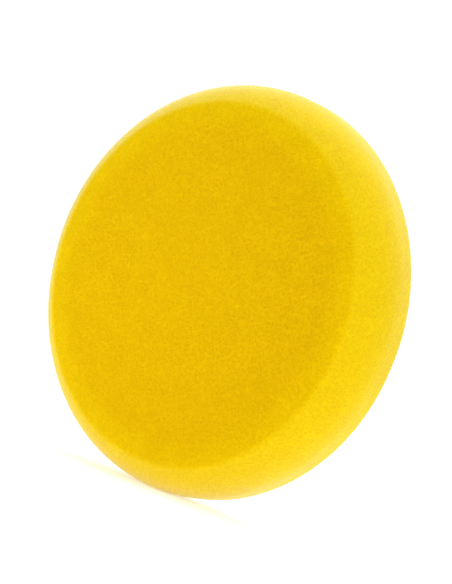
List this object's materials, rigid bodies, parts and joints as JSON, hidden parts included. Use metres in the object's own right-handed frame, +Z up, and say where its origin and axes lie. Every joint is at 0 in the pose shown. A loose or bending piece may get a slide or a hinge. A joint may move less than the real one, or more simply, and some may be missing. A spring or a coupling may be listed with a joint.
{
  "type": "polishing pad",
  "caption": "Round foam polishing pad with a flat working face, a convex flank and a hook-and-loop back for a machine's backing plate.",
  "frame": {"origin": "centre of the loop face, where a backing plate holds the pad", "axes": "+Y out of the loop face along the spin axis, towards the machine; -Y out of the working face; +Z up, with the pad on its rim"},
  "size_m": [0.15, 0.0254, 0.15],
  "materials": {
    "foam": "fine open-cell polyurethane foam, dry and matt",
    "bond": "translucent hot-melt film",
    "knit": "warp-knit nylon ground",
    "pile": "brushed nylon loops"
  },
  "bodies": {
    "root": {"foam_body": "foam", "bond_film": "bond", "knit_backing": "knit", "loop_pile": "pile"}
  },
  "joints": []
}
